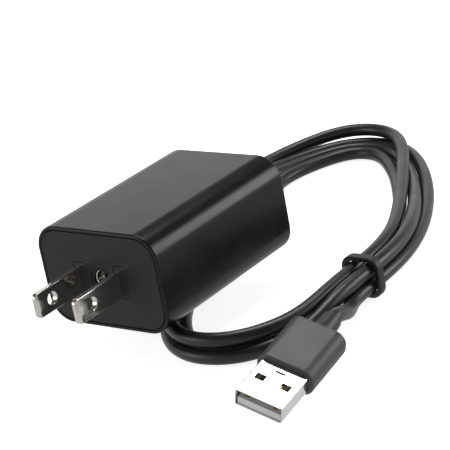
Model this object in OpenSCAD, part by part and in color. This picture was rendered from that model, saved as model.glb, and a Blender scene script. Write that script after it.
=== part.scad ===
// USB wall charger resting on its wound charging lead. Millimetres, +Z up.
// The origin is the centre of the face that meets the wall outlet, between the blades.
// -Y points into the wall, +Y towards the USB port, +X to the right of the blades.

/* [Housing] */
// Width of the housing
body_w = 38; // [37:0.5:42]
// Height of the housing
body_h = 26; // [25.5:0.5:29]
// Depth of the housing, from the wall face to the port end
body_d = 53; // [53:0.5:58]
// Radius of the four long corners
corner_r = 6.5; // [5.5:0.25:7.5]
// Wall thickness of the two half shells
wall = 1.6; // [1.5:0.1:1.8]
// Width of the rim around the front plate
rim_w = 1; // [0.9:0.1:1.2]

/* [Blades] */
// Centre to centre distance of the two blades
blade_pitch = 12.7; // [12.7:0.1:13]
// Width of a blade
blade_w = 6.35; // [6.1:0.05:6.6]
// Thickness of a blade
blade_t = 1.5; // [1.4:0.05:1.6]
// Length of a blade outside the wall face
blade_l = 17.5; // [16:0.5:18]
// Diameter of the detent hole in a blade
blade_hole_d = 3.2; // [3:0.1:3.3]

/* [Lead] */
// Diameter of the lead
cable_d = 3.8; // [3.4:0.1:3.8]
// Width of the grip moulded on the USB-A plug
grip_w = 14.6; // [14:0.2:16]
// Height of the grip moulded on the USB-A plug
grip_h = 7.2; // [6.8:0.2:7.6]
// Thickness of the rubber tie ring
ring_t = 1.2; // [1:0.1:1.4]

/* [Hidden] */
$fn = 64;

// Housing
plate_t = 2.2;
seam_gap = 0.15;
inner_w = body_w - 2 * wall;
inner_h = body_h - 2 * wall;
floor_in = -inner_h / 2;
pillar_y = 7;
pillar_l = 6;

// Screw recess in the front plate
recess_r = 2.5;
recess_l = 5.6;
screw_r = 1;

// USB-A port
port_w = 13.1;
port_h = 5.72;
port_l = 14;
port_t = 0.3;
port_y = body_d - 0.4 - port_l;
usb_contact_x = [-3.5, -1, 1, 3.5];

// Circuit board
board_w = 31;
board_t = 1.2;
board_y = 16;
board_l = body_d - wall - 1 - board_y;
board_top = -port_h / 2;
rail_w = (inner_w - board_w) / 2 + 2;

// USB-A plug: nose at the origin of its own frame, cable end towards +Y
shell_w = 12;
shell_h = 4.5;
shell_l = 12;
shell_t = 0.3;
grip_l = 16.5;
relief_l = 6.5;
plug_tuck = 2;

// Device plug, the same layout
dev_w = 8.25;
dev_h = 2.4;
dev_l = 6.5;
dev_grip_w = 11;
dev_grip_h = 6.2;
dev_grip_l = 15;

// The lead lies in two layers under and beside the housing
cable_r = cable_d / 2;
layer_h = cable_d + 0.2;
table_z = -body_h / 2 - 0.3 - cable_d - layer_h;
low_z = table_z + cable_r;
tie_y = 47.5;
tie_x = 43;
ring_l = 2.6;
ring_gap = 0.3;
pair_x = 2.1;
tie_lift = ring_t + ring_gap + pair_x - layer_h / 2;

// Where each plug lies and how it is turned
plug_at = [55.7, -17.3, table_z + 4.25];
plug_turn = [8, 20, 3];
dev_at = [-2.5, 57.5, table_z + dev_grip_h / 2];
dev_turn = [0, 0, 19];

// One turn of the wound lead, seen from above, starting just in front of the tie ring
turn_xy = [[43, 40], [43, 31], [42.2, 21.5], [39, 12.5], [33, 6], [25, 3], [17, 4], [9, 9],
    [0, 20], [-9, 37], [-19, 59], [-28, 80], [-35, 99], [-34.5, 114], [-29.5, 128.5],
    [-21.5, 139], [-10, 142], [1, 136], [13, 119.5], [25.8, 99.5], [37.3, 78], [43, 60]];
turn_n = len(turn_xy);

// Each pass round the turn: [place on the turn, distance outwards, layer]
pass_0 = [[14, -9.2, 0], [16, -8.2, 0], [18, -3.6, 0], [21, -pair_x, 0], [22, -pair_x, 0]];
pass_1 = [[0, -pair_x, 0], [4, -4.4, 0], [8, -4.4, 0], [12, -5, 0], [16, -4, 0], [18, 0.5, 0],
    [19, 1.2, 0.65], [20, 2, 1], [21, pair_x, 1], [22, pair_x, 1]];
pass_2 = [[0, pair_x, 1], [1, 1.9, 1], [2, 1.8, 0.4], [4, 0, 0], [8, 0, 0], [11, 3.8, 0],
    [12, 3.8, 0], [14, 3.8, 0.5], [15, 2.6, 1], [17, 0.2, 1], [18, -1.3, 1],
    [19, -2.6, 1], [21, -pair_x, 1], [22, -pair_x, 1]];
pass_3 = [[0, -pair_x, 1], [3, -2, 1], [5, -0.8, 1], [9, -0.8, 1], [11, -1, 1], [13, -0.6, 0], [16, 0.2, 0],
    [18, 4.6, 0], [19, 4.6, 0], [20, 3.2, 0], [21, pair_x, 0], [22, pair_x, 0]];

// Hand-laid ends of the lead: out of the device plug, and from the tie to the USB-A plug
start_xyz = [[-16.5, 92.5, low_z + 0.5], [-23, 101, low_z], [-25.3, 111, low_z]];
tail_xyz = [[45.1, 40, low_z + tie_lift], [46.6, 35, low_z + 1.5], [49.8, 29.5, low_z + 2.8],
    [52.4, 24, low_z + 5.6]];

function ease(t) = (1 - cos(180 * t)) / 2;

// Value in column c of a pass table at place i
function along(table, i, c) =
    let (k = max([for (n = [0:len(table) - 2]) if (table[n][0] <= i) n]))
    let (a = table[k], b = table[k + 1])
    a[c] + (b[c] - a[c]) * ease((i - a[0]) / (b[0] - a[0]));

// The tie ring lifts the lead a little off the table at the ring
function tie_rise(i) = (i == 0 || i == 21 || i == 22) ? tie_lift
    : (i == 1 || i == 20) ? tie_lift / 2 : 0;

function outward(i) =
    let (d = turn_xy[(i + 1) % turn_n] - turn_xy[(i + turn_n - 1) % turn_n])
    i % turn_n == 0 || i == 21 ? [1, 0] : [-d[1], d[0]] / norm(d);

function on_turn(table, i) =
    let (p = turn_xy[i % turn_n] + along(table, i, 1) * outward(i))
    [p[0], p[1], low_z + layer_h * along(table, i, 2) + tie_rise(i)];

// A point given in a plug's own frame, in the frame of the whole part
function turned(p, at, turn) =
    let (a = turn[1], b = turn[0], c = turn[2])
    let (u = [p[0] * cos(a) + p[2] * sin(a), p[1], -p[0] * sin(a) + p[2] * cos(a)])
    let (v = [u[0], u[1] * cos(b) - u[2] * sin(b), u[1] * sin(b) + u[2] * cos(b)])
    at + [v[0] * cos(c) - v[1] * sin(c), v[0] * sin(c) + v[1] * cos(c), v[2]];

dev_exit = turned([0, dev_l + dev_grip_l + relief_l, 0], dev_at, dev_turn);
dev_lead_out = turned([0, dev_l + dev_grip_l + relief_l + 1.5, 0], dev_at, dev_turn);
plug_exit = turned([0, shell_l + grip_l + relief_l, 0], plug_at, plug_turn);
plug_lead_out = turned([0, shell_l + grip_l + relief_l + 1.5, 0], plug_at, plug_turn);

lead_path = concat([dev_exit, dev_lead_out], start_xyz,
    [for (i = [14:21]) on_turn(pass_0, i)],
    [for (i = [0:21]) on_turn(pass_1, i)],
    [for (i = [0:21]) on_turn(pass_2, i)],
    [for (i = [0:21]) on_turn(pass_3, i)],
    tail_xyz, [plug_lead_out, plug_exit]);

// Rectangle with round corners, centred, made of squares and circles
module round_rect(w, h, r) {
    square([w - 2 * r, h], center = true);
    square([w, h - 2 * r], center = true);
    for (x = [-1, 1], y = [-1, 1])
        translate([x * (w / 2 - r), y * (h / 2 - r)]) circle(r);
}

// Extrudes an outline drawn in X and Z from y0 to y1
module along_y(y0, y1) {
    translate([0, y1, 0]) rotate([90, 0, 0]) linear_extrude(y1 - y0) children();
}

// Side view of a block of half width a with bevelled ends, as X against Y
function bevel_side(a, l, c0, c1) = [[c0 - a, 0], [a - c0, 0], [a, c0], [a, l - c1],
    [a - c1, l], [c1 - a, l], [-a, l - c1], [-a, c0]];

// Block with round long corners, along Y from 0 to l, bevelled by c0 and c1 at its ends
module round_block(w, h, r, l, c0, c1) {
    linear_extrude(h - 2 * r, center = true) polygon(bevel_side(w / 2, l, c0, c1));
    rotate([0, 90, 0])
        linear_extrude(w - 2 * r, center = true) polygon(bevel_side(h / 2, l, c0, c1));
    for (x = [-1, 1], z = [-1, 1])
        translate([x * (w / 2 - r), 0, z * (h / 2 - r)]) rotate([-90, 0, 0])
            rotate_extrude() polygon([[0, 0], [r - c0, 0], [r, c0], [r, l - c1],
                [r - c1, l], [0, l]]);
}

// Box given by its lowest and highest corners
module span(a, b) {
    translate(a) cube(b - a);
}

module y_cylinder(r, y0, y1) {
    translate([0, y0, 0]) rotate([-90, 0, 0]) cylinder(r = r, h = y1 - y0);
}

// ---- Housing ----

module housing_hollow() {
    difference() {
        round_block(body_w, body_h, corner_r, body_d, 0.5, 0.9);
        along_y(plate_t, body_d - wall)
            round_rect(inner_w, inner_h, corner_r - wall);
        along_y(-1, plate_t + 0.01)
            round_rect(body_w - 2 * rim_w, body_h - 2 * rim_w, corner_r - rim_w);
        along_y(body_d - 2 * wall, body_d + 1)
            round_rect(port_w + 0.3, port_h + 0.3, 0.6);
    }
}

module upper_shell() color("dimgray") {
    intersection() {
        housing_hollow();
        span([-body_w, -1, 0], [body_w, body_d + 1, body_h]);
    }
}

module lower_shell() color("dimgray") {
    intersection() {
        union() {
            housing_hollow();
            for (s = [-1, 1])
                translate([s * (inner_w + board_w - 2) / 4, board_y + 2, 0])
                    span([-rail_w / 2, 0, -8.5], [rail_w / 2, board_l - 4, board_top - board_t]);
        }
        span([-body_w, -1, -body_h], [body_w, body_d + 1, 0]);
    }
    difference() {
        span([-3, pillar_y, floor_in - 0.4], [3, pillar_y + pillar_l, 2.8]);
        y_cylinder(screw_r, pillar_y - 1, pillar_y + pillar_l + 1);
    }
}

module insert_hole(s) {
    along_y(-1, plate_t + 1)
        translate([s * blade_pitch / 2, 0]) square([3.6, 8.4], center = true);
}

module front_plate() color("dimgray") {
    difference() {
        union() {
            along_y(0, plate_t)
                round_rect(body_w - 2 * (rim_w + seam_gap), body_h - 2 * (rim_w + seam_gap),
                    corner_r - rim_w - seam_gap);
            y_cylinder(recess_r + 1, plate_t - 0.5, pillar_y);
        }
        for (s = [-1, 1]) insert_hole(s);
        y_cylinder(recess_r, -1, recess_l);
        y_cylinder(screw_r + 0.15, 0, pillar_y + 1);
        rotate([-90, 0, 0]) rotate_extrude() polygon([[recess_r + 0.5, -0.5],
            [recess_r + 0.75, -0.5], [recess_r + 0.75, 0.3], [recess_r + 0.5, 0.3]]);
    }
}

// Slot for the blade and its narrower tail through an insert
module blade_body(grow) {
    span([-blade_t / 2, -blade_l + grow, -blade_w / 2], [blade_t / 2, 3.4, blade_w / 2]);
    span([-blade_t / 2, 3.4, -2], [blade_t / 2, 8.6, 2]);
}

module blade_insert(s) {
    translate([s * blade_pitch / 2, 0, 0]) difference() {
        union() {
            along_y(0, plate_t) square([3.5, 8.3], center = true);
            along_y(plate_t, 5) square([4.8, 10.4], center = true);
        }
        blade_body(5);
    }
}

module blade_insert_left() color("dimgray") blade_insert(-1);
module blade_insert_right() color("dimgray") blade_insert(1);

module blade(s) {
    tip = 1.3;
    thin = 0.35;
    b = blade_t / 2;
    translate([s * blade_pitch / 2, 0, 0]) difference() {
        intersection() {
            blade_body(0);
            rotate([90, 0, 90]) linear_extrude(blade_t + 1, center = true)
                polygon([[tip - blade_l, -blade_w / 2], [-blade_l, tip - blade_w / 2],
                    [-blade_l, blade_w / 2 - tip], [tip - blade_l, blade_w / 2],
                    [9, blade_w / 2], [9, -blade_w / 2]]);
            linear_extrude(blade_w + 1, center = true)
                polygon([[thin - b, -blade_l], [b - thin, -blade_l], [b, 1.2 - blade_l],
                    [b, 9], [-b, 9], [-b, 1.2 - blade_l]]);
        }
        translate([0, -11.9, 0]) rotate([0, 90, 0])
            cylinder(d = blade_hole_d, h = blade_t + 1, center = true);
    }
}

module blade_left() color("silver") blade(-1);
module blade_right() color("silver") blade(1);

module recess_sleeve() color("silver") {
    difference() {
        y_cylinder(recess_r, 0.8, 3.4);
        y_cylinder(recess_r - 0.45, 0, 4);
    }
}

module case_screw() color("silver") {
    difference() {
        union() {
            y_cylinder(1.7, recess_l - 1.4, recess_l);
            y_cylinder(screw_r, recess_l, pillar_y + pillar_l - 1);
        }
        span([-1.1, recess_l - 2, -0.22], [1.1, recess_l - 0.8, 0.22]);
        span([-0.22, recess_l - 2, -1.1], [0.22, recess_l - 0.8, 1.1]);
    }
}

// ---- Inside the housing ----

// Strip from the side of a blade's tail down to the board
module contact_spring(s) {
    strip = 0.3;
    x = s > 0 ? blade_pitch / 2 + blade_t / 2 : -blade_pitch / 2 - blade_t / 2 - strip;
    span([x, 5.4, -1.6], [x + strip, board_y + 2.2, 1.6]);
    span([x, board_y - 0.6, board_top], [x + strip, board_y + 2.2, -1.6]);
    span([min(x, x + s * 2.4), board_y + 0.6, board_top],
        [max(x, x + s * 2.4) + strip, board_y + 2.2, board_top + strip]);
}

module contact_spring_left() color("goldenrod") contact_spring(-1);
module contact_spring_right() color("goldenrod") contact_spring(1);

module circuit_board() color("darkgreen") {
    span([-board_w / 2, board_y, board_top - board_t],
        [board_w / 2, board_y + board_l, board_top]);
}

// Can with a rubber-sealed foot, lying along Y or standing on the board
module can(d, l) {
    rotate_extrude() polygon([[0, 0], [d / 2 - 0.2, 0], [d / 2, 0.3], [d / 2, 1.6],
        [d / 2 - 0.3, 2], [d / 2, 2.4], [d / 2, l - 0.4], [d / 2 - 0.4, l], [0, l]]);
}

module input_capacitor_left() color("midnightblue")
    translate([-11.3, board_y + 2.6, board_top + 4.05]) rotate([-90, 0, 0]) can(8, 12.5);
module input_capacitor_right() color("midnightblue")
    translate([11.3, board_y + 2.6, board_top + 4.05]) rotate([-90, 0, 0]) can(8, 12.5);

module fuse_resistor() color("seagreen")
    translate([0, board_y + 1.9, board_top + 1.8]) rotate([0, 90, 0]) {
        translate([0, 0, -3.6]) cylinder(d = 3.2, h = 7.2);
        translate([0, 0, -5]) cylinder(d = 0.7, h = 10);
    }

// On the underside of the board
module bridge_rectifier() color("black")
    translate([-5, board_y + 8, board_top - board_t]) {
        span([-2.4, -2, -2.5], [2.4, 2, -0.1]);
        for (x = [-1.3, 1.3], y = [-1, 1])
            translate([x, y * 2.4, 0]) span([-0.35, -0.5, -1.1], [0.35, 0.5, 0]);
    }

module input_choke() color("saddlebrown")
    translate([0, board_y + 6.9, board_top]) {
        cylinder(d = 6, h = 1);
        translate([0, 0, 1]) cylinder(d = 5.2, h = 6);
        translate([0, 0, 7]) cylinder(d = 6, h = 1);
    }

// The middle leg of the core runs along X, through the tube of the bobbin
module at_transformer() {
    translate([0, board_y + 16.3, board_top + 1]) children();
}

module transformer_core() color("dimgray") at_transformer() difference() {
    span([-7, -3, 0], [7, 3, 12]);
    for (z = [2.2, 7.6]) span([-4.5, -4, z], [4.5, 4, z + 2.2]);
}

module transformer_bobbin() color("black") at_transformer() difference() {
    union() {
        span([-4.4, -3.7, 3.8], [4.4, 3.7, 8.2]);
        for (x = [-4.4, 3.7]) span([x, -5.9, 2.3], [x + 0.7, 5.9, 9.6]);
        for (y = [-5.9, 5.1]) span([-4.4, y, -1], [4.4, y + 0.8, 2.4]);
    }
    span([-5, -3.1, 4.3], [5, 3.1, 7.7]);
}

module transformer_winding() color("gold") at_transformer() difference() {
    span([-3.6, -5.4, 2.6], [3.6, 5.4, 9.4]);
    span([-4, -3.8, 3.7], [4, 3.8, 8.3]);
}

module y_capacitor() color("steelblue")
    translate([-11.3, board_y + 20, board_top]) {
        translate([-1.5, 0, 4.6]) rotate([0, 90, 0]) cylinder(d = 7, h = 3);
        for (y = [-2.5, 2.5]) span([-0.3, y - 0.3, 0], [0.3, y + 0.3, 3]);
    }

module controller_chip() color("black")
    translate([4, board_y + 10, board_top - board_t]) {
        span([-2.5, -2, -1.6], [2.5, 2, -0.1]);
        for (x = [-1.9, -0.6, 0.6, 1.9], y = [-1, 1])
            translate([x, y * 2.5, 0]) span([-0.2, -0.5, -0.9], [0.2, 0.5, 0]);
    }

module output_diode() color("black")
    translate([-4, board_y + 25, board_top - board_t]) {
        span([-2.2, -1.3, -2.2], [2.2, 1.3, -0.1]);
        for (x = [-2.6, 1.8]) span([x, -0.7, -0.9], [x + 0.8, 0.7, 0]);
    }

module output_capacitor() color("midnightblue")
    translate([11, body_d - 8, board_top]) can(8, 11.5);

module usb_port_shell() color("silver") {
    difference() {
        along_y(port_y, port_y + port_l) round_rect(port_w, port_h, 0.5);
        along_y(port_y + 0.4, port_y + port_l + 1)
            round_rect(port_w - 2 * port_t, port_h - 2 * port_t, 0.3);
        for (x = [-3.2, 3.2])
            translate([x, port_y + 6.5, 0]) span([-0.9, 0, -port_h], [0.9, 4.5, port_h]);
    }
}

module usb_port_tongue() color("white") {
    span([-6.1, port_y + 0.45, -2.4], [6.1, port_y + 3, 2.4]);
    span([-5.55, port_y + 3, 0.05], [5.55, port_y + port_l - 1, 1.89]);
}

module usb_port_contacts() color("gold") {
    for (x = usb_contact_x)
        span([x - 0.5, port_y + 3.1, -0.2], [x + 0.5, port_y + port_l - 2.4, 0.04]);
}

// ---- Lead ----

// Ring of 8 corners round point i of a path, square to the path there
function ring_at(path, i, r) =
    let (a = path[max(i - 1, 0)], b = path[min(i + 1, len(path) - 1)])
    let (t = (b - a) / norm(b - a), s = cross(t, [0, 0, 1]))
    let (side = s / norm(s), up = cross(side, t))
    [for (k = [0:7]) path[i] + r * (cos(45 * k + 22.5) * side + sin(45 * k + 22.5) * up)];

module tube(path, r) {
    n = len(path);
    points = [for (i = [0:n - 1], p = ring_at(path, i, r)) p];
    walls = [for (i = [0:n - 2], k = [0:7])
        [8 * i + k, 8 * i + (k + 1) % 8, 8 * i + 8 + (k + 1) % 8, 8 * i + 8 + k]];
    ends = [[for (k = [7:-1:0]) k], [for (k = [0:7]) 8 * (n - 1) + k]];
    polyhedron(points, concat(walls, ends), convexity = 10);
}

module lead_cable() color("black") tube(lead_path, cable_r);

module at_plug() {
    translate(plug_at) rotate([0, 0, plug_turn[2]]) rotate([plug_turn[0], 0, 0])
        rotate([0, plug_turn[1], 0]) children();
}

module usb_plug_shell() color("silver") at_plug() {
    difference() {
        along_y(0, shell_l + plug_tuck) round_rect(shell_w, shell_h, 0.5);
        along_y(-1, shell_l + plug_tuck + 1)
            round_rect(shell_w - 2 * shell_t, shell_h - 2 * shell_t, 0.3);
        for (x = [-3.2, 3.2])
            translate([x, 6.4, 0]) span([-1.25, -1.05, -shell_h], [1.25, 1.05, shell_h]);
        translate([0, 9.9, 0]) span([-1.25, -0.4, 0], [1.25, 0.4, shell_h]);
    }
}

module usb_plug_tongue() color("white") at_plug() {
    span([-5.5, 0.5, 0.35 - shell_h / 2], [5.5, shell_l + 1, -0.05]);
    span([-5.5, shell_l - 1, -0.05], [5.5, shell_l + 1, shell_h / 2 - 0.35]);
}

module usb_plug_contacts() color("gold") at_plug() {
    for (x = usb_contact_x)
        span([x - 0.5, x * x > 4 ? 1.2 : 2, -0.05], [x + 0.5, shell_l - 1, 0.12]);
}

module usb_plug_grip() color("dimgray") at_plug() {
    difference() {
        translate([0, shell_l, 0]) round_block(grip_w, grip_h, 3.1, grip_l, 0.5, 1);
        along_y(shell_l - 1, shell_l + plug_tuck) round_rect(shell_w, shell_h, 0.5);
    }
}

// Tapered sleeve round the lead behind a grip
module relief(r0, r1, y0) {
    translate([0, y0, 0]) rotate([-90, 0, 0]) rotate_extrude()
        polygon([[0, 0], [r0, 0], [r0 - 0.3, 1.2], [r1, relief_l - 0.6],
            [r1 - 0.5, relief_l], [0, relief_l]]);
}

module usb_plug_relief() color("black") at_plug() relief(3.2, 2.5, shell_l + grip_l);

module at_device() {
    translate(dev_at) rotate([0, 0, dev_turn[2]]) children();
}

module device_plug_shell() color("silver") at_device() {
    difference() {
        along_y(0, dev_l + 1.5) round_rect(dev_w, dev_h, dev_h / 2 - 0.01);
        along_y(-1, dev_l - 0.4)
            round_rect(dev_w - 0.6, dev_h - 0.6, dev_h / 2 - 0.32);
    }
}

module device_plug_core() color("black") at_device() {
    difference() {
        along_y(0.4, dev_l - 0.4) round_rect(dev_w - 0.6, dev_h - 0.6, dev_h / 2 - 0.32);
        span([-3.4, 0, -0.35], [3.4, dev_l - 1.6, 0.35]);
    }
}

module device_plug_grip() color("dimgray") at_device() {
    difference() {
        translate([0, dev_l, 0]) round_block(dev_grip_w, dev_grip_h, 2.6, dev_grip_l, 0.5, 0.9);
        along_y(dev_l - 1, dev_l + 1.5) round_rect(dev_w, dev_h, dev_h / 2 - 0.01);
    }
}

module device_plug_relief() color("black") at_device() relief(2.9, 2.3, dev_l + dev_grip_l);

// Rubber ring round the four strands of the lead
module tie_ring() color("black") {
    half = pair_x + cable_r + ring_gap;
    translate([tie_x, 0, low_z + layer_h / 2 + tie_lift])
        along_y(tie_y - ring_l / 2, tie_y + ring_l / 2) difference() {
            round_rect(2 * (half + ring_t), 2 * (half + ring_t), 3.2);
            round_rect(2 * half, 2 * half, 2);
        }
}

upper_shell();
lower_shell();
front_plate();
blade_insert_left();
blade_insert_right();
blade_left();
blade_right();
recess_sleeve();
case_screw();
contact_spring_left();
contact_spring_right();
circuit_board();
fuse_resistor();
bridge_rectifier();
input_choke();
input_capacitor_left();
input_capacitor_right();
transformer_core();
transformer_bobbin();
transformer_winding();
y_capacitor();
controller_chip();
output_diode();
output_capacitor();
usb_port_shell();
usb_port_tongue();
usb_port_contacts();
lead_cable();
usb_plug_shell();
usb_plug_tongue();
usb_plug_contacts();
usb_plug_grip();
usb_plug_relief();
device_plug_shell();
device_plug_core();
device_plug_grip();
device_plug_relief();
tie_ring();
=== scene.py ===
from math import cos, pi, radians, sin

import bmesh
import bpy
from mathutils import Matrix, Vector


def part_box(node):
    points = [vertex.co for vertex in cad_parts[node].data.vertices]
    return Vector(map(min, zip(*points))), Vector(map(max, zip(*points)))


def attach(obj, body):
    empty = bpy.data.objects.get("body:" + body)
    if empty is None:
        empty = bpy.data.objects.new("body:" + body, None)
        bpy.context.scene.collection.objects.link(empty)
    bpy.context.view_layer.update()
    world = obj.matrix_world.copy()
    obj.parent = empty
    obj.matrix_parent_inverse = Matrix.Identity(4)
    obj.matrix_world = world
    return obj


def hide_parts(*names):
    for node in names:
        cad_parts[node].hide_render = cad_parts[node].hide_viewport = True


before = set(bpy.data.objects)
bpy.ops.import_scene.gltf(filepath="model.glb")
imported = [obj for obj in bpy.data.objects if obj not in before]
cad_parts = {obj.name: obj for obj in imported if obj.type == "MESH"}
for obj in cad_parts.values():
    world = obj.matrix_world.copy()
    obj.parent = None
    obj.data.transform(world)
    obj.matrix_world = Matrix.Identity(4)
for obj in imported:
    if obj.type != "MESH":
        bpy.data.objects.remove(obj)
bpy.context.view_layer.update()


# ---- Camera ----
# It looks down on the blades' end of the charger from far off, through a long lens,
# and is rolled a little to its side.

lens = bpy.data.cameras.new("camera")
lens.lens = 146.5
camera = bpy.data.objects.new("camera", lens)
camera.location = (0.28971, -0.29449, 0.16465)
camera.rotation_euler = [radians(a) for a in (68.8217, 10.2066, 36.1764)]
bpy.context.scene.collection.objects.link(camera)
bpy.context.scene.camera = camera


# ---- Lead ----
# A round charging lead: fine wires under a soft black jacket that is extruded over them.
# It lies wound in two layers on the table, held by the tie ring, and the charger rests on it.

MM = 0.001
cable_d = 3.8
layer_h = cable_d + 0.2
table_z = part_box("tie_ring")[0].z / MM
low_z = table_z + cable_d / 2
pair_x = 2.1
tie_lift = 1.6


def turned(x, y, z):
    """A turn about Y, then X, then Z, by these angles in degrees."""
    return (Matrix.Rotation(radians(z), 4, "Z") @ Matrix.Rotation(radians(x), 4, "X")
            @ Matrix.Rotation(radians(y), 4, "Y"))


# Each plug's own frame has its nose at the origin and its cable end towards +Y
usb_place = Matrix.Translation(Vector((55.7, -17.3, table_z + 4.25)) * MM) @ turned(8, 20, 3)
device_place = Matrix.Translation(Vector((-2.5, 57.5, table_z + 3.1)) * MM) @ turned(0, 0, 19)
usb_l = 35
device_l = 28
straight_l = 1.5

# One turn of the wound lead, seen from above, starting just in front of the tie ring
turn_xy = [(43, 40), (43, 31), (42.2, 21.5), (39, 12.5), (33, 6), (25, 3), (17, 4), (9, 9),
           (0, 20), (-9, 37), (-19, 59), (-28, 80), (-35, 99), (-34.5, 114), (-29.5, 128.5),
           (-21.5, 139), (-10, 142), (1, 136), (13, 119.5), (25.8, 99.5), (37.3, 78), (43, 60)]
turn_n = len(turn_xy)

# Each pass round the turn: (place on the turn, distance outwards, layer)
pass_0 = [(14, -9.2, 0), (16, -8.2, 0), (18, -3.6, 0), (21, -pair_x, 0), (22, -pair_x, 0)]
pass_1 = [(0, -pair_x, 0), (4, -4.4, 0), (8, -4.4, 0), (12, -5, 0), (16, -4, 0), (18, 0.5, 0),
          (19, 1.2, 0.65), (20, 2, 1), (21, pair_x, 1), (22, pair_x, 1)]
pass_2 = [(0, pair_x, 1), (1, 1.9, 1), (2, 1.8, 0.4), (4, 0, 0), (8, 0, 0), (11, 3.8, 0),
          (12, 3.8, 0), (14, 3.8, 0.5), (15, 2.6, 1), (17, 0.2, 1), (18, -1.3, 1),
          (19, -2.6, 1), (21, -pair_x, 1), (22, -pair_x, 1)]
pass_3 = [(0, -pair_x, 1), (3, -2, 1), (5, -0.8, 1), (9, -0.8, 1), (11, -1, 1), (13, -0.6, 0),
          (16, 0.2, 0), (18, 4.6, 0), (19, 4.6, 0), (20, 3.2, 0), (21, pair_x, 0), (22, pair_x, 0)]

# The two ends, whose points are listed one by one: from the device plug, and from the tie to the USB
# plug
start_xyz = [(-16.5, 92.5, low_z + 0.5), (-23, 101, low_z), (-25.3, 111, low_z)]
tail_xyz = [(45.1, 40, low_z + tie_lift), (46.6, 35, low_z + 1.5), (49.8, 29.5, low_z + 2.8),
            (52.4, 24, low_z + 5.6)]


def ease(t):
    return (1 - cos(pi * t)) / 2


def along(table, i, column):
    """The value in a column of a pass table at place i, eased between its rows."""
    a, b = [pair for pair in zip(table, table[1:]) if pair[0][0] <= i][-1]
    return a[column] + (b[column] - a[column]) * ease((i - a[0]) / (b[0] - a[0]))


def tie_rise(i):
    """How far the tie ring lifts the lead off the table."""
    return {0: 1, 21: 1, 1: 0.5, 20: 0.5}.get(i, 0) * tie_lift


def outward(i):
    """The level direction out of the turn at place i. The stretch in the tie ring is straight."""
    if i in (0, 21):
        return Vector((1, 0))
    d = Vector(turn_xy[(i + 1) % turn_n]) - Vector(turn_xy[i - 1])
    return Vector((-d.y, d.x)).normalized()


def on_turn(table, i):
    p = Vector(turn_xy[i]) + along(table, i, 1) * outward(i)
    return (p.x, p.y, low_z + layer_h * along(table, i, 2) + tie_rise(i))


route = start_xyz + [on_turn(pass_0, i) for i in range(14, turn_n)]
for table in (pass_1, pass_2, pass_3):
    route += [on_turn(table, i) for i in range(turn_n)]
route += tail_xyz
route = ([device_place @ (Vector((0, y, 0)) * MM) for y in (device_l, device_l + straight_l)]
         + [Vector(p) * MM for p in route]
         + [usb_place @ (Vector((0, y, 0)) * MM) for y in (usb_l + straight_l, usb_l)])


def smooth_cord(name, points, thickness):
    """A round cord on one smooth curve that is led by the points, all in metres."""
    curve = bpy.data.curves.new(name, "CURVE")
    curve.dimensions = "3D"
    curve.bevel_depth = thickness / 2
    curve.bevel_resolution = 6
    curve.use_fill_caps = True
    spline = curve.splines.new("NURBS")
    spline.points.add(len(points) - 1)
    for knot, point in zip(spline.points, points):
        knot.co = (*point, 1)
    spline.order_u = 4
    spline.resolution_u = 6
    spline.use_endpoint_u = True
    cord = bpy.data.objects.new(name, curve)
    bpy.context.scene.collection.objects.link(cord)
    return cord


def add(tree, kind, inputs=None, **settings):
    """Adds a node. Each input is given a value, or another node's output to link to."""
    made = tree.nodes.new(kind)
    for name, value in settings.items():
        setattr(made, name, value)
    for name, value in (inputs or {}).items():
        if isinstance(value, bpy.types.NodeSocket):
            tree.links.new(value, made.inputs[name])
        else:
            made.inputs[name].default_value = value
    return made


def new_group(name, inputs, outputs):
    """An empty node group with these sockets: its tree, its input node and its output node."""
    tree = bpy.data.node_groups.new(name, "ShaderNodeTree")
    for label, kind, value in inputs:
        tree.interface.new_socket(label, in_out="INPUT", socket_type=kind).default_value = value
    for label, kind in outputs:
        tree.interface.new_socket(label, in_out="OUTPUT", socket_type=kind)
    return tree, tree.nodes.new("NodeGroupInput").outputs, tree.nodes.new("NodeGroupOutput")


COLOUR = "NodeSocketColor"
NUMBER = "NodeSocketFloat"
ARROW = "NodeSocketVector"


def between(tree, value, low, high):
    """value, from 0 to 1, spread over low to high."""
    spread = {"Value": value, "From Min": 0.3, "From Max": 0.7, "To Min": low, "To Max": high}
    return add(tree, "ShaderNodeMapRange", spread).outputs[0]


def sums(tree, operation, a, b):
    return add(tree, "ShaderNodeMath", {0: a, 1: b}, operation=operation).outputs[0]


def edge_mask(tree, width):
    """Nearly 1 on outside and inside edges, and 0 on flat and gently round surfaces."""
    soft = add(tree, "ShaderNodeBevel", {"Radius": width}, samples=4).outputs[0]
    true = add(tree, "ShaderNodeNewGeometry").outputs["Normal"]
    same = add(tree, "ShaderNodeVectorMath", {0: soft, 1: true}, operation="DOT_PRODUCT")
    spread = {"Value": same.outputs["Value"], "From Min": 0.995, "From Max": 0.85}
    return add(tree, "ShaderNodeMapRange", spread).outputs[0]
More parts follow.
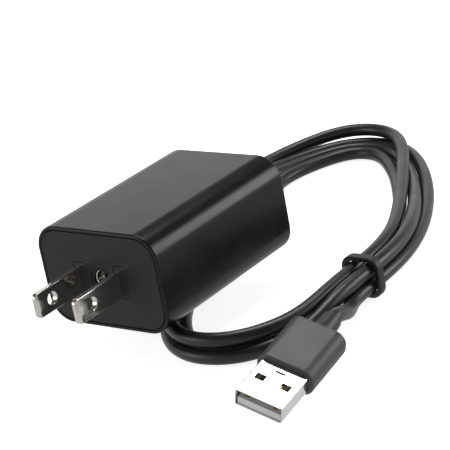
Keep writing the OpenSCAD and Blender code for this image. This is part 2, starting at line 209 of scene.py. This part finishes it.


# Moulded and extruded surfaces: a fine grain from the tool, a faint clouding, and edges that are a
# little smoother, with a painted highlight that lightens their colour where they catch light
moulded, given, out = new_group("moulded surface", [
    ("Colour", COLOUR, (0.03, 0.03, 0.03, 1)), ("Clouding", NUMBER, 0.1),
    ("Grains per metre", NUMBER, 8000), ("Grain depth", NUMBER, 0.000004),
    ("Roughness", NUMBER, 0.4), ("Roughness spread", NUMBER, 0.06), ("Edge polish and painted sheen", NUMBER, 0.3),
], [("Colour", COLOUR), ("Roughness", NUMBER), ("Normal", ARROW)])
where = add(moulded, "ShaderNodeTexCoord").outputs["Object"]
grain = add(moulded, "ShaderNodeTexNoise", {
    "Vector": where, "Scale": given["Grains per metre"], "Detail": 3, "Roughness": 0.6}).outputs[0]
cloud = add(moulded, "ShaderNodeTexNoise", {
    "Vector": where, "Scale": 120, "Detail": 5, "Roughness": 0.55}).outputs[0]
edge = edge_mask(moulded, 0.0003)
# Painted highlight: the edge mask lightens the colour along edges, where light catches them. It also
# lowers the roughness there, as real polish would.
polish_and_painted_sheen = sums(moulded, "MULTIPLY", edge, given["Edge polish and painted sheen"])
mottle = sums(moulded, "MULTIPLY", between(moulded, cloud, -1, 1), given["Clouding"])
speck = sums(moulded, "MULTIPLY", between(moulded, grain, -0.6, 0.6), given["Clouding"])
level = sums(moulded, "ADD", sums(moulded, "ADD", mottle, speck), sums(moulded, "ADD", polish_and_painted_sheen, 1))
tint = add(moulded, "ShaderNodeVectorMath", {0: given["Colour"], "Scale": level},
           operation="SCALE").outputs[0]
uneven = sums(moulded, "MULTIPLY", between(moulded, cloud, -1, 1), given["Roughness spread"])
gloss = sums(moulded, "SUBTRACT", sums(moulded, "ADD", given["Roughness"], uneven),
             sums(moulded, "MULTIPLY", polish_and_painted_sheen, 0.2))
bump = add(moulded, "ShaderNodeBump", {
    "Strength": 1, "Distance": given["Grain depth"], "Height": grain}).outputs[0]
moulded.links.new(tint, out.inputs["Colour"])
moulded.links.new(gloss, out.inputs["Roughness"])
moulded.links.new(bump, out.inputs["Normal"])


def finish_from(group, name, settings, shader_values):
    """A material whose colour, roughness and normal come from a group of the finish."""
    material = bpy.data.materials.new(name)
    material.use_nodes = True
    tree = material.node_tree
    shader = tree.nodes["Principled BSDF"]
    surface = add(tree, "ShaderNodeGroup", settings, node_tree=group)
    tree.links.new(surface.outputs["Colour"], shader.inputs["Base Color"])
    tree.links.new(surface.outputs["Roughness"], shader.inputs["Roughness"])
    tree.links.new(surface.outputs["Normal"], shader.inputs["Normal"])
    for socket, value in shader_values.items():
        shader.inputs[socket].default_value = value
    return material


# The edge setting makes edges a little glossier and also lightens their colour, as a painted
# highlight.
def plastic(name, colour, grains, depth, roughness, spread=0.05, clouding=0.08, polish_and_painted_sheen=0.3,
            specular=0.5):
    return finish_from(moulded, name, {
        "Colour": (*colour, 1), "Clouding": clouding, "Grains per metre": grains,
        "Grain depth": depth, "Roughness": roughness, "Roughness spread": spread,
        "Edge polish and painted sheen": polish_and_painted_sheen}, {"Specular IOR Level": specular})


jacket = plastic("lead jacket", (0.013, 0.013, 0.0133), 5000, 0.000003, 0.36, specular=0.45)
lead = smooth_cord("charging_lead", route, cable_d * MM)
lead.data.materials.append(jacket)
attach(lead, "lead")
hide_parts("lead_cable")


# ---- Tie ring ----
# A flat band of black rubber, moulded as one closed ring. It is pushed over the folded bundle
# and grips its four strands, two above two.

def round_rect(w, h, r, steps=8):
    """Outline of a rectangle with round corners, centred, as (across, up)."""
    corners = [(1, 1), (-1, 1), (-1, -1), (1, -1)]
    return [(x * (w / 2 - r) + r * cos(pi / 2 * (k + s / steps)),
             z * (h / 2 - r) + r * sin(pi / 2 * (k + s / steps)))
            for k, (x, z) in enumerate(corners) for s in range(steps + 1)]


def rounded(start, end, r_start, r_end, steps=4):
    """(place, inset) along a wall whose edges at its start and its end are rounded."""
    bend = [pi / 2 * s / steps for s in range(steps + 1)]
    first = [(start + r_start * (1 - sin(a)), r_start * (1 - cos(a))) for a in reversed(bend)]
    return first + [(end - r_end * (1 - sin(a)), r_end * (1 - cos(a))) for a in bend]


def rect_wall(w, h, r, profile, middle=(0, 0), grow=-2):
    """Rings of a wall along Y. profile is (y, inset), and grow is 2 for the wall of a hole."""
    return [[(middle[0] + x, y, middle[1] + z)
             for x, z in round_rect(w + grow * inset, h + grow * inset,
                                    max(r + grow / 2 * inset, 0.02))]
            for y, inset in profile]


def solid(*walls):
    """A closed mesh. Each wall is a list of rings, from the near face to the far face."""
    mesh = bmesh.new()
    ends = ([], [])
    for wall in walls:
        rings = [[mesh.verts.new(p) for p in ring] for ring in wall]
        for a, b in zip(rings, rings[1:]):
            for i in range(len(a)):
                mesh.faces.new((a[i - 1], a[i], b[i], b[i - 1]))
        ends[0].append(rings[0])
        ends[1].append(rings[-1])
    for rims in ends:
        if len(rims) == 1:
            mesh.faces.new(rims[0])
        else:
            edges = [mesh.edges.get((rim[i - 1], rim[i])) for rim in rims for i in range(len(rim))]
            bmesh.ops.triangle_fill(mesh, use_beauty=True, edges=edges)
    bmesh.ops.recalc_face_normals(mesh, faces=mesh.faces)
    return mesh


def piece(name, mesh, material, body, nodes, place=Matrix(), sharp=35):
    """Makes an object of a mesh in millimetres, which stands for these CAD nodes."""
    bmesh.ops.scale(mesh, vec=(MM, MM, MM), verts=mesh.verts)
    data = bpy.data.meshes.new(name)
    mesh.to_mesh(data)
    mesh.free()
    data.polygons.foreach_set("use_smooth", [True] * len(data.polygons))
    data.set_sharp_from_angle(angle=radians(sharp))
    data.materials.append(material)
    made = bpy.data.objects.new(name, data)
    bpy.context.scene.collection.objects.link(made)
    made.modifiers.new("even shading", "WEIGHTED_NORMAL").keep_sharp = True
    made.matrix_world = place
    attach(made, body)
    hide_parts(*nodes)
    return made


ring_low, ring_high = [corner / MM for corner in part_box("tie_ring")]
ring_size = ring_high.x - ring_low.x
ring_middle = ((ring_low.x + ring_high.x) / 2, (ring_low.z + ring_high.z) / 2)
ring_t = 1.2
ring_r = 3.2
rubber = plastic("tie rubber", (0.01, 0.01, 0.0103), 4000, 0.000005, 0.5, polish_and_painted_sheen=0.5)
piece("tie_band", solid(
    rect_wall(ring_size, ring_size, ring_r, rounded(ring_low.y, ring_high.y, 0.4, 0.4), ring_middle),
    rect_wall(ring_size - 2 * ring_t, ring_size - 2 * ring_t, ring_r - ring_t,
              rounded(ring_low.y, ring_high.y, 0.2, 0.2), ring_middle, grow=2),
), rubber, "tie", ["tie_ring"])


# ---- USB-A plug: sheet shell ----
# Nickel-plated steel sheet, folded into a box round the tongue, with two latch windows on each
# broad side, a small locking tab near the grip, and its joint along the underside.

plated, given, out = new_group("plated metal", [
    ("Colour", COLOUR, (0.7, 0.7, 0.7, 1)), ("Tarnish", COLOUR, (0.5, 0.5, 0.5, 1)),
    ("Stretch", ARROW, (1, 1, 1)), ("Line depth", NUMBER, 0.000001),
    ("Roughness", NUMBER, 0.2), ("Roughness spread", NUMBER, 0.05),
], [("Colour", COLOUR), ("Roughness", NUMBER), ("Normal", ARROW)])
where = add(plated, "ShaderNodeTexCoord").outputs["Object"]
drawn = add(plated, "ShaderNodeVectorMath", {0: where, 1: given["Stretch"]},
            operation="MULTIPLY").outputs[0]
lines = add(plated, "ShaderNodeTexNoise", {
    "Vector": drawn, "Scale": 6000, "Detail": 4, "Roughness": 0.7}).outputs[0]
cloud = add(plated, "ShaderNodeTexNoise", {
    "Vector": where, "Scale": 260, "Detail": 5, "Roughness": 0.6}).outputs[0]
stain = sums(plated, "MULTIPLY", between(plated, cloud, 0, 1), between(plated, lines, 0.4, 1))
tint = add(plated, "ShaderNodeMix", {
    0: stain, 6: given["Colour"], 7: given["Tarnish"]}, data_type="RGBA").outputs[2]
uneven = sums(plated, "MULTIPLY", between(plated, lines, -1, 1), given["Roughness spread"])
gloss = sums(plated, "ADD", given["Roughness"], uneven)
bump = add(plated, "ShaderNodeBump", {
    "Strength": 1, "Distance": given["Line depth"], "Height": lines}).outputs[0]
plated.links.new(tint, out.inputs["Colour"])
plated.links.new(gloss, out.inputs["Roughness"])
plated.links.new(bump, out.inputs["Normal"])


def metal(name, colour, tarnish, stretch, depth, roughness, spread=0.04):
    return finish_from(plated, name, {
        "Colour": (*colour, 1), "Tarnish": (*tarnish, 1), "Stretch": stretch,
        "Line depth": depth, "Roughness": roughness, "Roughness spread": spread},
        {"Metallic": 1})


def block(low, high, bevel=0):
    """A box between two corners, with its edges rounded."""
    mesh = bmesh.new()
    bmesh.ops.create_cube(mesh, size=1)
    low, high = Vector(low), Vector(high)
    for vert in mesh.verts:
        vert.co = [(low[i] + high[i]) / 2 + vert.co[i] * (high[i] - low[i]) for i in range(3)]
    if bevel:
        bmesh.ops.bevel(mesh, geom=mesh.edges[:], offset=bevel, segments=2, profile=0.5,
                        affect="EDGES")
    return mesh


def joined(*meshes):
    """One mesh of several."""
    whole = meshes[0]
    for mesh in meshes[1:]:
        data = bpy.data.meshes.new("joined")
        mesh.to_mesh(data)
        mesh.free()
        whole.from_mesh(data)
        bpy.data.meshes.remove(data)
    return whole


def less(mesh, *tools):
    """The mesh with these closed shapes cut out of it."""
    made = []
    for bm in (mesh, *tools):
        data = bpy.data.meshes.new("cut")
        bm.to_mesh(data)
        bm.free()
        made.append(bpy.data.objects.new("cut", data))
        bpy.context.scene.collection.objects.link(made[-1])
    for tool in made[1:]:
        cut = made[0].modifiers.new("cut", "BOOLEAN")
        cut.operation = "DIFFERENCE"
        cut.solver = "EXACT"
        cut.object = tool
    result = bmesh.new()
    result.from_object(made[0], bpy.context.evaluated_depsgraph_get())
    for thing in made:
        bpy.data.meshes.remove(thing.data)
    return result


shell_w, shell_h, shell_l, shell_t = 12, 4.5, 12, 0.3
plug_steel = metal("plug steel", (0.82, 0.82, 0.83), (0.7, 0.7, 0.71), (1, 0.05, 1), 0.0000004,
                   0.14, 0.03)
latch_w, latch_front, latch_rear, latch_x = 2.5, 5.35, 7.45, 3.2
windows = [block((x - latch_w / 2, latch_front, -shell_h), (x + latch_w / 2, latch_rear, shell_h))
           for x in (-latch_x, latch_x)]
slot_w, slot_y = 2.5, 9.9
tab_slot = block((-slot_w / 2, slot_y - 0.4, 1.5), (slot_w / 2, slot_y + 0.4, 3))
tab = block((-0.1, slot_y - 0.25, 1.5), (slot_w / 2 + 0.05, slot_y + 0.25, 1.85), 0.04)
joint_gap = block((-0.04, -1, -3), (0.04, shell_l - 1, -1.8))
piece("usb_plug_sheet", joined(less(
    solid(rect_wall(shell_w, shell_h, 0.5, rounded(0, shell_l + 2, 0.12, 0.05, 3)),
          rect_wall(shell_w - 2 * shell_t, shell_h - 2 * shell_t, 0.25,
                    rounded(0, shell_l + 2, 0.12, 0.05, 3), grow=2)),
    *windows, tab_slot, joint_gap,
), tab), plug_steel, "lead", ["usb_plug_shell"], usb_place, 25)


# ---- USB-A plug: tongue and contacts ----
# A moulded plastic tongue that fills the lower half of the shell, with four gold-flashed
# contact strips laid in its upper side.

tongue_white = plastic("tongue plastic", (0.62, 0.62, 0.61), 3000, 0.000003, 0.45, polish_and_painted_sheen=0)
tongue_x = 5.5
tongue_z = shell_h / 2 - 0.35
piece("usb_plug_insert", joined(
    block((-tongue_x, 0.4, -tongue_z), (tongue_x, shell_l + 1, -0.05), 0.12),
    block((-tongue_x, shell_l - 1, -0.1), (tongue_x, shell_l + 1, tongue_z), 0.12),
), tongue_white, "lead", ["usb_plug_tongue"], usb_place)
gold = metal("contact gold", (0.85, 0.6, 0.22), (0.7, 0.45, 0.14), (1, 0.1, 1), 0.0000005, 0.22)

# The two outer strips carry the power and start nearer the nose than the two data strips
strips = [block((x - 0.5, start, -0.06), (x + 0.5, shell_l - 1, 0.12), 0.05)
          for x, start in ((-3.5, 1.2), (-1, 2), (1, 2), (3.5, 1.2))]
piece("usb_plug_strips", joined(*strips), gold, "lead", ["usb_plug_contacts"],
      usb_place)


# ---- USB-A plug: grip and strain relief ----
# The grip is moulded over the shell in matte black plastic, with full round sides. The strain
# relief is a softer sleeve moulded behind it, which narrows towards the lead.

def lathe_wall(profile, middle=(0, 0), steps=48):
    """Rings of a wall turned about a line along Y. profile is (radius, y)."""
    return [[(middle[0] + r * cos(2 * pi * s / steps), y, middle[1] + r * sin(2 * pi * s / steps))
             for s in range(steps)] for r, y in profile]


def relief_profile(r_start, r_end, y0, length):
    """A sleeve with a small step where it leaves the grip, and a round end."""
    tip = [(r_end - 0.6 * (1 - cos(a)), y0 + length - 0.6 * (1 - sin(a)))
           for a in [pi / 2 * s / 5 for s in range(6)]]
    return [(r_start, y0 - 0.3), (r_start, y0 + 0.1), (r_start - 0.12, y0 + 0.5),
            (r_start - 0.25, y0 + 1.4)] + tip


grip_w, grip_h, grip_r, grip_l = 14.6, 7.2, 3.1, 16.5
relief_l = 6.5
mouth_gap = 0.16
grip_black = plastic("grip plastic", (0.055, 0.055, 0.0555), 7000, 0.000006, 0.46, polish_and_painted_sheen=0.5)
relief_black = plastic("relief rubber", (0.011, 0.011, 0.0113), 6000, 0.000005, 0.45, polish_and_painted_sheen=0.4)
piece("usb_plug_body", less(
    solid(rect_wall(grip_w, grip_h, grip_r, rounded(shell_l, shell_l + grip_l, 0.4, 0.8, 5))),
    solid(rect_wall(shell_w + mouth_gap, shell_h + mouth_gap, 0.5,
                    [(shell_l - 1, 0), (shell_l + 1.9, 0)])),
), grip_black, "lead", ["usb_plug_grip"], usb_place)
piece("usb_plug_sleeve",
      solid(lathe_wall(relief_profile(3.2, 2.5, shell_l + grip_l, relief_l))),
      relief_black, "lead", ["usb_plug_relief"], usb_place)


# ---- Device plug ----
# The same make at the lead's other end: a seamless drawn shell with full round sides, its
# plastic core, a small over-moulded grip and a strain relief.

dev_w, dev_h, dev_l = 8.25, 2.4, 6.5
dev_t = 0.3
dev_grip_w, dev_grip_h, dev_grip_r, dev_grip_l = 11, 6.2, 2.7, 15
piece("device_plug_sheet", solid(
    rect_wall(dev_w, dev_h, dev_h / 2 - 0.01, rounded(0, dev_l + 1.5, 0.13, 0.05, 3)),
    rect_wall(dev_w - 2 * dev_t, dev_h - 2 * dev_t, dev_h / 2 - 0.32,
              rounded(0, dev_l - 0.4, 0.13, 0.01, 3), grow=2),
), plug_steel, "lead", ["device_plug_shell"], device_place)
core_black = plastic("core plastic", (0.02, 0.02, 0.02), 3000, 0.000003, 0.5)
piece("device_plug_middle", less(
    solid(rect_wall(dev_w - 0.62, dev_h - 0.62, dev_h / 2 - 0.33,
                    rounded(0.4, dev_l - 0.45, 0.1, 0.02, 3))),
    block((-3.4, 0, -0.35), (3.4, dev_l - 1.6, 0.35)),
), core_black, "lead", ["device_plug_core"], device_place)
piece("device_plug_body", less(
    solid(rect_wall(dev_grip_w, dev_grip_h, dev_grip_r,
                    rounded(dev_l, dev_l + dev_grip_l, 0.4, 0.8, 5))),
    solid(rect_wall(dev_w + mouth_gap, dev_h + mouth_gap, dev_h / 2,
                    [(dev_l - 1, 0), (dev_l + 1.4, 0)])),
), grip_black, "lead", ["device_plug_grip"], device_place)
piece("device_plug_sleeve",
      solid(lathe_wall(relief_profile(2.9, 2.3, dev_l + dev_grip_l, relief_l))),
      relief_black, "lead", ["device_plug_relief"], device_place)


# ---- Housing halves ----
# Two moulded half shells that meet on a parting line round the middle, in satin black plastic
# with a fine grain. The rim in front holds the plate, and the rear wall has the USB window.

shell_low, shell_high = [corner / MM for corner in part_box("upper_shell")]
body_w = shell_high.x - shell_low.x
body_h = 2 * shell_high.z
body_d = shell_high.y
corner_r = 6.5
wall = 1.6
rim_w = 1
plate_t = 2.2
window_w, window_h, window_r = 13.4, 6.02, 0.6
parting_gap = 0.02
groove_w = 0.12
groove_t = 0.3


def half_outline(w, h, r, pull=0, steps=10):
    """From the parting line on the right, over the top, to the parting line on the left.
    The first two and the last two points are pulled inwards to leave a groove there."""
    bend = [pi / 2 * s / steps for s in range(steps + 1)]
    right = [(w / 2 - pull, parting_gap), (w / 2 - pull, groove_w), (w / 2, groove_w)]
    right += [(w / 2 - r + r * cos(a), h / 2 - r + r * sin(a)) for a in bend]
    return right + [(-x, z) for x, z in reversed(right)]


def housing_row(y, inset, lean):
    """One row of the housing's outside. lean is the angle that its surface faces, from the
    front at -90 degrees, through the side at 0, to the rear at 90."""
    row = [(x, y, z) for x, z in half_outline(body_w - 2 * inset, body_h - 2 * inset,
                                              corner_r - inset, groove_t * cos(lean))]
    for end in (0, 1, -2, -1):
        row[end] = (row[end][0], y - groove_t * sin(lean), row[end][2])
    return row


def window_row(y, grow, pull):
    row = [(x, y, z) for x, z in half_outline(window_w + 2 * grow, window_h + 2 * grow,
                                              window_r + grow)]
    for end in (0, 1, -2, -1):
        row[end] = (row[end][0], y - pull, row[end][2])
    return row


def inner_row(y, inset):
    return [(x, y, z) for x, z in half_outline(body_w - 2 * inset, body_h - 2 * inset,
                                               corner_r - inset)]


def half_shell(side):
    """The upper half for side 1, the lower half for side -1."""
    edge = 5
    lean = [-pi / 2 + pi / 2 * s / edge for s in range(edge + 1)]
    outside = rounded(0, body_d, 0.5, 0.9, edge)
    leans = lean + [a + pi / 2 for a in lean]
    rows = [inner_row(0.12, rim_w), housing_row(0, rim_w - 0.12, -pi / 2)]
    rows += [housing_row(y, inset, a) for (y, inset), a in zip(outside, leans)]
    rows += [window_row(body_d, 0.25, groove_t), window_row(body_d - 0.25, 0, 0),
             window_row(body_d - wall, 0, 0), inner_row(body_d - wall, wall),
             inner_row(plate_t, wall), inner_row(plate_t, rim_w)]
    mesh = bmesh.new()
    grid = [[mesh.verts.new((x, y, side * z)) for x, y, z in row] for row in rows]
    for a, b in zip(grid, grid[1:] + grid[:1]):
        for i in range(len(a) - 1):
            mesh.faces.new((a[i], a[i + 1], b[i + 1], b[i]))
    for end in (0, -1):
        mesh.faces.new([row[end] for row in grid])
    bmesh.ops.recalc_face_normals(mesh, faces=mesh.faces)
    return mesh


housing_black = plastic("housing plastic", (0.009, 0.009, 0.0092), 8000, 0.000003, 0.25,
                        spread=0.03, specular=0.25)
piece("upper_half", half_shell(1), housing_black, "charger", ["upper_shell"])

board_low, board_high = [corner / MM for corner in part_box("circuit_board")]
floor_z = wall - body_h / 2
rail_z = -8.5
rails = [block((left, board_low.y + 2, rail_z), (right, board_high.y - 2, board_low.z), 0.3)
         for left, right in ((-17.9, -14), (14, 17.9))]
pillar_w, pillar_top, pillar_sunk = 6, 2.8, 0.4
pillar_front, pillar_rear = 7, 13
screw_r = 1
pillar = solid(rect_wall(pillar_w, pillar_top - floor_z + pillar_sunk, 0.4,
                         [(pillar_front, 0), (pillar_rear, 0)],
                         middle=(0, (pillar_top + floor_z - pillar_sunk) / 2)),
               lathe_wall([(screw_r, pillar_front), (screw_r, pillar_rear)], steps=24))
piece("lower_half", joined(half_shell(-1), pillar, *rails), housing_black, "charger",
      ["lower_shell"])


# ---- Front plate ----
# A moulded plate let into the rim, flush with it, with a hole for each blade's insert and a deep
# round recess for the case screw. Its edge is bevelled, so a fine dark line shows all round it.

seam = 0.15
plate_w = body_w - 2 * (rim_w + seam)
plate_h = body_h - 2 * (rim_w + seam)
plate_r = corner_r - rim_w - seam
blade_x = 6.35
recess_r = 2.5
recess_l = 5.6
boss_r = recess_r + 1
boss_l = 7
screw_hole_r = 1.15
groove_in, groove_out = recess_r + 0.5, recess_r + 0.75
plate_black = plastic("plate plastic", (0.015, 0.015, 0.0152), 8000, 0.000004, 0.42,
                      spread=0.03, specular=0.3)
insert_holes = [rect_wall(3.6, 8.4, 0.2, [(0, 0.12), (0.12, 0), (plate_t, 0)], (s * blade_x, 0), 2)
                for s in (-1, 1)]
piece("wall_plate", solid(
    rect_wall(plate_w, plate_h, plate_r, rounded(0, plate_t, 0.22, 0.05, 3)),
    *insert_holes,
    lathe_wall([(groove_out, 0), (groove_out, 0.3), (groove_in, 0.3), (groove_in, 0),
                (recess_r + 0.12, 0), (recess_r, 0.12), (recess_r, recess_l),
                (screw_hole_r, recess_l), (screw_hole_r, boss_l), (boss_r, boss_l),
                (boss_r, plate_t)]),
), plate_black, "charger", ["front_plate"])


# ---- Blade inserts ----
# Each blade is moulded into a small block of harder plastic, which is pushed through the plate
# from behind until its flange stops it.

insert_w, insert_h, insert_l = 3.5, 8.3, 5
flange_w, flange_h = 4.8, 10.4
step_y = 3.4
insert_black = plastic("insert plastic", (0.015, 0.015, 0.0152), 9000, 0.000002, 0.42,
                       specular=0.3)
for side, s in (("left", -1), ("right", 1)):
    at = (s * blade_x, 0)
    piece(f"insert_{side}", solid(
        rect_wall(insert_w, insert_h, 0.15, [(0, 0.12), (0.12, 0), (plate_t, 0)], at)
        + rect_wall(flange_w, flange_h, 0.4, [(plate_t, 0), (insert_l, 0)], at),
        rect_wall(1.54, 6.39, 0.1, [(0, 0.06), (0.06, 0), (step_y, 0)], at, 2)
        + rect_wall(1.54, 4.04, 0.1, [(step_y, 0), (insert_l, 0)], at, 2),
    ), insert_black, "charger", [f"blade_insert_{side}"])


# ---- Blades ----
# Two flat mains blades, stamped from brass strip with a detent hole each, nickel plated, with
# rounded tips that are thinned a little so that they enter an outlet easily.

blade_low, blade_high = [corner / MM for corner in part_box("blade_right")]
blade_w = blade_high.z - blade_low.z
blade_t = blade_high.x - blade_low.x
tip_y = blade_low.y
root_y = step_y
tail_y = 8.6
tail_h = 4
hole_y = -11.9
hole_r = 1.6
tip_r = 1.3
thinned_l = 1.2


def blade_outline(inset):
    """The blade's side view as (y, z), from the tip to the narrow tail inside the housing."""
    bend = [pi / 2 * s / 6 for s in range(7)]
    half = blade_w / 2 - inset
    r = tip_r - inset
    tip = tip_y + inset
    upper = [(tip + r - r * cos(a), half - r + r * sin(a)) for a in bend]
    upper += [(root_y - inset, half), (root_y - inset, tail_h / 2 - inset),
              (tail_y - inset, tail_h / 2 - inset)]
    return upper + [(y, -z) for y, z in reversed(upper)]


def hole_outline(inset, steps=40):
    r = hole_r + inset
    return [(hole_y + r * cos(2 * pi * s / steps), r * sin(2 * pi * s / steps))
            for s in range(steps)]


nickel = metal("nickel plate", (0.74, 0.72, 0.68), (0.62, 0.6, 0.56), (1, 1, 0.06), 0.0000006,
               0.17, 0.04)
for side, s in (("left", -1), ("right", 1)):
    across = rounded(-blade_t / 2, blade_t / 2, 0.2, 0.2, 3)
    blade = solid([[(x, y, z) for y, z in blade_outline(inset)] for x, inset in across],
                  [[(x, y, z) for y, z in hole_outline(inset)] for x, inset in across])
    bmesh.ops.bisect_plane(blade, geom=blade.verts[:] + blade.edges[:] + blade.faces[:],
                           plane_co=(0, tip_y + thinned_l, 0), plane_no=(0, 1, 0))
    for vert in blade.verts:
        near_tip = max(0, tip_y + thinned_l - vert.co.y) / thinned_l
        vert.co.x *= 1 - 0.4 * near_tip
        vert.co.x += s * blade_x
    piece(f"mains_blade_{side}", blade, nickel, "charger", [f"blade_{side}"])


# ---- Recess sleeve and case screw ----
# A turned and plated sleeve lines the recess, with a rolled lip, and guides the driver to the
# screw that holds the plate to the lower half.

bright = metal("sleeve metal", (0.78, 0.75, 0.7), (0.6, 0.57, 0.52), (1, 1, 1), 0.0000006, 0.16)
sleeve_t = 0.45
sleeve_front, sleeve_rear = 1.0, 3.4
lip_r = sleeve_t / 2
lip = [(recess_r - lip_r + lip_r * cos(a), sleeve_front - lip_r * sin(a))
       for a in [pi * s / 8 for s in range(9)]]
outer_wall = [(recess_r - 0.01, sleeve_rear), (recess_r - 0.01, sleeve_front)]
inner_wall = [(recess_r - sleeve_t, sleeve_front), (recess_r - sleeve_t, sleeve_rear)]
sleeve = bmesh.new()
rings = [[sleeve.verts.new(p) for p in ring]
         for ring in lathe_wall(outer_wall + lip[1:-1] + inner_wall)]
for a, b in zip(rings, rings[1:] + rings[:1]):
    for i in range(len(a)):
        sleeve.faces.new((a[i - 1], a[i], b[i], b[i - 1]))
bmesh.ops.recalc_face_normals(sleeve, faces=sleeve.faces)
piece("driver_sleeve", sleeve, bright, "charger", ["recess_sleeve"])


def paint(material, *nodes):
    """Gives CAD nodes, whose shape stays as it is, their finish."""
    for name in nodes:
        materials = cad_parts[name].data.materials
        materials.clear()
        materials.append(material)


paint(metal("screw steel", (0.42, 0.42, 0.43), (0.3, 0.3, 0.3), (1, 1, 1), 0.000001, 0.3),
      "case_screw")


# ---- USB-A port ----
# A sheet shell with spring windows, a moulded tongue with four gold-flashed contacts under it.
# It stands at the rear edge of the circuit board, behind the window in the housing.

paint(metal("port steel", (0.66, 0.66, 0.67), (0.52, 0.52, 0.53), (1, 0.05, 1), 0.0000005, 0.24),
      "usb_port_shell")
paint(plastic("port plastic", (0.6, 0.6, 0.59), 3000, 0.000003, 0.45, polish_and_painted_sheen=0), "usb_port_tongue")
paint(gold, "usb_port_contacts")


# ---- Circuit board and what stands on it ----
# The board is glass laminate under a green solder mask, slid onto two rails in the lower half.
# Two spring strips take the mains from the blades' tails to it.

paint(metal("spring bronze", (0.7, 0.45, 0.25), (0.5, 0.3, 0.16), (1, 0.1, 1), 0.000001, 0.3),
      "contact_spring_left", "contact_spring_right")
paint(plastic("board laminate", (0.02, 0.13, 0.05), 1200, 0.000012, 0.3, clouding=0.35),
      "circuit_board")
paint(plastic("resistor lacquer", (0.09, 0.3, 0.26), 2500, 0.00001, 0.35, clouding=0.2),
      "fuse_resistor")
paint(plastic("chip resin", (0.02, 0.02, 0.022), 6000, 0.000006, 0.55, clouding=0.15),
      "bridge_rectifier", "controller_chip", "output_diode")
paint(plastic("ferrite", (0.055, 0.055, 0.06), 3000, 0.00001, 0.6, clouding=0.25),
      "input_choke", "transformer_core")
paint(plastic("capacitor sleeve", (0.015, 0.02, 0.07), 1500, 0.000004, 0.25, clouding=0.12),
      "input_capacitor_left", "input_capacitor_right", "output_capacitor")
paint(plastic("bobbin plastic", (0.025, 0.025, 0.025), 4000, 0.000004, 0.45),
      "transformer_bobbin")
paint(plastic("winding tape", (0.7, 0.48, 0.05), 900, 0.00001, 0.28, clouding=0.15),
      "transformer_winding")
paint(plastic("disc lacquer", (0.06, 0.2, 0.5), 1500, 0.00001, 0.35, clouding=0.15),
      "y_capacitor")


# ---- Floor and light ----
# A plain white floor, and soft studio panels: one overhead, a low one behind on the left whose
# sheen lies on the housing's top, a strip behind on the right, and one for the front.

floor_white = bpy.data.materials.new("floor white")
floor_white.use_nodes = True
tree = floor_white.node_tree
paper = add(tree, "ShaderNodeTexNoise", {"Scale": 400, "Detail": 4}).outputs[0]
tone = add(tree, "ShaderNodeMix", {
    0: between(tree, paper, 0, 1), 6: (0.9, 0.9, 0.9, 1), 7: (0.92, 0.92, 0.92, 1)},
    data_type="RGBA").outputs[2]
tree.links.new(tone, tree.nodes["Principled BSDF"].inputs["Base Color"])
tree.nodes["Principled BSDF"].inputs["Roughness"].default_value = 0.9
tree.nodes["Principled BSDF"].inputs["Specular IOR Level"].default_value = 0.1
tree.nodes["Principled BSDF"].inputs["Emission Color"].default_value = (1, 1, 1, 1)
tree.nodes["Principled BSDF"].inputs["Emission Strength"].default_value = 0.8

floor_mesh = bmesh.new()
bmesh.ops.create_grid(floor_mesh, x_segments=8, y_segments=8, size=3)
floor_data = bpy.data.meshes.new("floor")
floor_mesh.to_mesh(floor_data)
floor_mesh.free()
floor_data.materials.append(floor_white)
floor = bpy.data.objects.new("floor", floor_data)
floor.location.z = (table_z - 0.02) * MM
floor.visible_glossy = False
floor.visible_diffuse = False
bpy.context.scene.collection.objects.link(floor)

# The studio is lightest near the floor and dims towards its ceiling
world = bpy.data.worlds.new("studio")
world.use_nodes = True
tree = world.node_tree
height = add(tree, "ShaderNodeSeparateXYZ", {
    0: add(tree, "ShaderNodeTexCoord").outputs["Generated"]}).outputs["Z"]
dim = add(tree, "ShaderNodeMapRange", {
    "Value": height, "From Min": 0.3, "From Max": 0.55, "To Min": 0.68, "To Max": 0.12}).outputs[0]
tree.links.new(dim, tree.nodes["Background"].inputs["Strength"])
tree.nodes["Background"].inputs["Color"].default_value = (1, 1, 1, 1)
bpy.context.scene.world = world
bpy.context.scene.view_settings.view_transform = "Standard"

middle = Vector((0.01, 0.04, -0.005))


def panel(name, way, distance, width, height, power):
    """A soft light that faces the object from the given way."""
    light = bpy.data.lights.new(name, "AREA")
    light.shape = "RECTANGLE"
    light.size = width
    light.size_y = height
    light.energy = power
    made = bpy.data.objects.new(name, light)
    way = Vector(way).normalized()
    made.location = middle + way * distance
    made.rotation_euler = way.to_track_quat("Z", "Y").to_euler()
    bpy.context.scene.collection.objects.link(made)


panel("overhead", (-0.14, 0.38, 0.9), 0.7, 0.5, 0.22, 3)
panel("back_left", (-0.62, 0.7, 0.24), 0.9, 0.8, 0.34, 0.45)
panel("back_right", (0.6, 0.715, 0.26), 0.9, 0.34, 0.42, 2.6)
panel("front", (-0.6, -0.75, 0.3), 0.9, 0.6, 0.5, 2)
